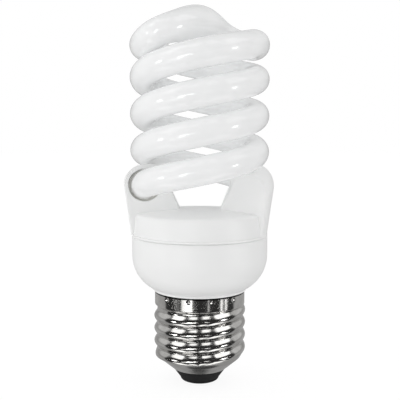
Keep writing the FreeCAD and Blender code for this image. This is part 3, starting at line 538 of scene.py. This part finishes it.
def add_piece(piece, *replaced):
    """Puts a piece on the lamp in place of the solids it stands for."""
    slot = slots[replaced[0]]
    piece.data.materials.append(LOOKS[slot])
    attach(piece, "root")
    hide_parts(*replaced)


for node, solid in nodes.items():
    look = LOOKS[slots[node]]
    if not solid.material_slots:
        solid.data.materials.append(look)
    for place in solid.material_slots:
        place.material = look

add_piece(spiral_tube(), "discharge_tube")
add_piece(cap_shell(), "cap_shell")
add_piece(housing(), "ballast_housing")


# Studio, in metres

FLOOR_REACH = 3
FLOOR_DROP = 0.00005
FLOOR_TONE = 0.85
FLOOR_GLOW = 1.05
FLOOR_GLOW_SHARE = 0.85

# Windows that gloss reflects: azimuth from the front, half width, elevation, half height, brightness
WINDOWS = [
    (-59.5, 7.0, -16.0, 8.0, 0.15),
    (-32.5, 14.0, -16.0, 8.0, 1.2),
    (22.7, 1.0, -16.0, 8.0, 1.2),
    (57.4, 3.4, -16.0, 8.0, 1.2),
    (70.0, 3.0, -16.0, 8.0, 1.2),
    (-71.5, 18.5, 50.0, 18.0, 1.5),
    (-27.5, 12.5, 67.0, 18.0, 1.5),
    (17.5, 13.5, 67.0, 18.0, 1.5),
    (68.0, 23.0, 50.0, 18.0, 1.5),
    (-71.5, 18.5, -62.0, 18.0, 1.5),
    (-27.5, 12.5, -74.0, 17.0, 1.5),
    (17.5, 13.5, -74.0, 17.0, 1.5),
    (68.0, 23.0, -62.0, 18.0, 1.5),
    (-66.0, 5.0, -2.0, 5.5, 9.0),
    (-20.0, 11.0, -1.5, 3.5, 6.0),
    (-28.0, 5.0, -9.0, 5.0, 6.0),
    (16.0, 4.0, -1.5, 3.0, 3.0),
    (60.0, 5.0, -2.0, 5.5, 9.0),
]
WINDOW_EDGE = 0.7

# The room that gloss reflects behind the lamp: elevation, half height, brightness added
BACKDROP = [(-14.0, 14.0, 0.08), (25.0, 14.0, 0.25), (-85.0, 25.0, 0.12)]
BACKDROP_EDGE = 4.0
ROOM_BRIGHTNESS = 0.3
LEAST_BRIGHTNESS = 0.03

# Where the room starts to the sides, and a dark patch low in it; a pair is a half width and its soft edge
ROOM_SIDE = (96.0, 3.0)
PATCH_ELEVATION = -68.0
PATCH_WIDTH = (37.5, 7.5)
PATCH_HEIGHT = (9.5, 2.5)
PATCH_DARKNESS = 0.95

# The light of the studio on what isn't glossy, weaker from the front
SOFT_LIGHT = 0.86
FRONT_LOSS = 0.42
FRONT_WIDTH = (45.0, 30.0)

LAMP_MIDDLE = (0, 0, 0.06)
CAMERA_PLACE = (0.00009, -0.1895, 0.0696)
CAMERA_TILT = 5.21
FOCAL_LENGTH = 60.03


def studio_floor():
    """A pale floor: the camera sees mostly its white glow, and enough of its paint for the lamp's shadow."""
    mesh = bpy.data.meshes.new("studio_floor")
    corners = [(-FLOOR_REACH, -FLOOR_REACH, 0), (FLOOR_REACH, -FLOOR_REACH, 0),
               (FLOOR_REACH, FLOOR_REACH, 0), (-FLOOR_REACH, FLOOR_REACH, 0)]
    mesh.from_pydata(corners, [], [(0, 1, 2, 3)])
    floor = link(bpy.data.objects.new("studio_floor", mesh))
    floor.location.z = -FLOOR_DROP
    material = bpy.data.materials.new("studio_floor")
    material.use_nodes = True
    tree = material.node_tree
    tree.nodes.clear()
    path = tree.nodes.new("ShaderNodeLightPath")
    paint = tree.nodes.new("ShaderNodeBsdfDiffuse")
    paint.inputs["Color"].default_value = (FLOOR_TONE, FLOOR_TONE, FLOOR_TONE, 1)
    glow = tree.nodes.new("ShaderNodeEmission")
    glow.inputs["Strength"].default_value = FLOOR_GLOW
    share = calc(tree, "MULTIPLY", path.outputs["Is Camera Ray"], FLOOR_GLOW_SHARE)
    mix = tree.nodes.new("ShaderNodeMixShader")
    out = tree.nodes.new("ShaderNodeOutputMaterial")
    tree.links.new(share, mix.inputs[0])
    tree.links.new(paint.outputs[0], mix.inputs[1])
    tree.links.new(glow.outputs[0], mix.inputs[2])
    tree.links.new(mix.outputs[0], out.inputs[0])
    mesh.materials.append(material)
    floor.visible_glossy = False


def off(tree, angle, place):
    """How far an angle in radians is from a place in degrees."""
    return calc(tree, "ABSOLUTE", calc(tree, "SUBTRACT", angle, math.radians(place)))


def within(tree, angle, half, soft):
    """1 where an angle in radians is under half, 0 over it, with a soft edge; both are in degrees."""
    return fade(tree, angle, math.radians(half - soft), math.radians(half + soft))


def windows_seen(tree, azimuth, elevation):
    """The brightness of the windows in a direction."""
    total = 0.0
    for place, half, level, tall, brightness in WINDOWS:
        across = within(tree, off(tree, azimuth, place), half, WINDOW_EDGE)
        upright = within(tree, off(tree, elevation, level), tall, 2 * WINDOW_EDGE)
        glow = calc(tree, "MULTIPLY", calc(tree, "MULTIPLY", across, upright), brightness)
        total = calc(tree, "ADD", total, glow)
    return total


def room_seen(tree, azimuth, elevation):
    """The brightness of the room behind the lamp in a direction; there is none in front."""
    room = ROOM_BRIGHTNESS
    for level, tall, brightness in BACKDROP:
        band = within(tree, off(tree, elevation, level), tall, BACKDROP_EDGE)
        room = calc(tree, "ADD", room, calc(tree, "MULTIPLY", band, brightness))
    turned = calc(tree, "ABSOLUTE", azimuth)
    wide = within(tree, calc(tree, "SUBTRACT", math.pi, turned), *PATCH_WIDTH)
    high = within(tree, off(tree, elevation, PATCH_ELEVATION), *PATCH_HEIGHT)
    darkness = calc(tree, "MULTIPLY", calc(tree, "MULTIPLY", wide, high), PATCH_DARKNESS)
    room = calc(tree, "MULTIPLY", room, calc(tree, "SUBTRACT", 1.0, darkness))
    front = within(tree, turned, *ROOM_SIDE)
    return calc(tree, "MULTIPLY", calc(tree, "SUBTRACT", 1.0, front), room)


def studio_world():
    """White to the camera, windows and a dim room to gloss, and a soft light to the rest."""
    world = bpy.data.worlds.new("studio")
    bpy.context.scene.world = world
    world.use_nodes = True
    tree = world.node_tree
    tree.nodes.clear()
    way = tree.nodes.new("ShaderNodeTexCoord")
    axes = tree.nodes.new("ShaderNodeSeparateXYZ")
    tree.links.new(way.outputs["Generated"], axes.inputs[0])
    back = calc(tree, "MULTIPLY", axes.outputs["Y"], -1.0)
    azimuth = calc(tree, "ARCTAN2", axes.outputs["X"], back)
    elevation = calc(tree, "ARCSINE", axes.outputs["Z"])
    room = calc(tree, "ADD", room_seen(tree, azimuth, elevation), LEAST_BRIGHTNESS)
    reflected = calc(tree, "ADD", windows_seen(tree, azimuth, elevation), room)
    front = within(tree, calc(tree, "ABSOLUTE", azimuth), *FRONT_WIDTH)
    around = calc(tree, "SUBTRACT", SOFT_LIGHT, calc(tree, "MULTIPLY", front, FRONT_LOSS))
    gloss, soft_light, white = (tree.nodes.new("ShaderNodeBackground") for number in range(3))
    for source in (gloss, soft_light, white):
        source.inputs["Color"].default_value = (1, 1, 1, 1)
    tree.links.new(reflected, gloss.inputs["Strength"])
    tree.links.new(around, soft_light.inputs["Strength"])
    path = tree.nodes.new("ShaderNodeLightPath")
    shiny = tree.nodes.new("ShaderNodeMixShader")
    seen = tree.nodes.new("ShaderNodeMixShader")
    out = tree.nodes.new("ShaderNodeOutputWorld")
    tree.links.new(path.outputs["Is Glossy Ray"], shiny.inputs[0])
    tree.links.new(soft_light.outputs[0], shiny.inputs[1])
    tree.links.new(gloss.outputs[0], shiny.inputs[2])
    tree.links.new(path.outputs["Is Camera Ray"], seen.inputs[0])
    tree.links.new(shiny.outputs[0], seen.inputs[1])
    tree.links.new(white.outputs[0], seen.inputs[2])
    tree.links.new(seen.outputs[0], out.inputs[0])


def aim(thing, direction):
    """Turns a light or camera to look along a direction."""
    thing.rotation_euler = direction.to_track_quat("-Z", "Y").to_euler()


def soft_box(name, place, width, height, power):
    light = bpy.data.lights.new(name, "AREA")
    light.shape = "RECTANGLE"
    light.size = width
    light.size_y = height
    light.energy = power
    box = link(bpy.data.objects.new(name, light))
    box.location = place
    aim(box, Vector(LAMP_MIDDLE) - Vector(place))
    box.visible_glossy = False


def fill_light(name, source, strength):
    """A weak light without shadows, as the reflectors of a light tent give."""
    light = bpy.data.lights.new(name, "SUN")
    light.energy = strength
    light.angle = math.radians(30)
    light.use_shadow = False
    fill = link(bpy.data.objects.new(name, light))
    aim(fill, -Vector(source))
    fill.visible_glossy = False


def studio_camera():
    lens = bpy.data.cameras.new("camera")
    lens.lens = FOCAL_LENGTH
    lens.sensor_width = 36.0
    lens.clip_start = 0.01
    lens.clip_end = 20.0
    camera = link(bpy.data.objects.new("camera", lens))
    camera.location = CAMERA_PLACE
    camera.rotation_euler = (math.radians(90 - CAMERA_TILT), 0, 0)
    bpy.context.scene.camera = camera


studio_floor()
studio_world()
soft_box("left_light", (-0.65, -0.17, 0.15), 0.5, 0.5, 0.8)
soft_box("right_light", (0.63, -0.23, 0.2), 0.4, 0.5, 0.6)
fill_light("fill_above", (-0.2, -0.67, 0.71), 0.6)
fill_light("fill_below", (-0.35, -0.75, -0.56), 0.38)
studio_camera()
bpy.context.scene.view_settings.view_transform = "Standard"
bpy.context.scene.cycles.diffuse_bounces = 8
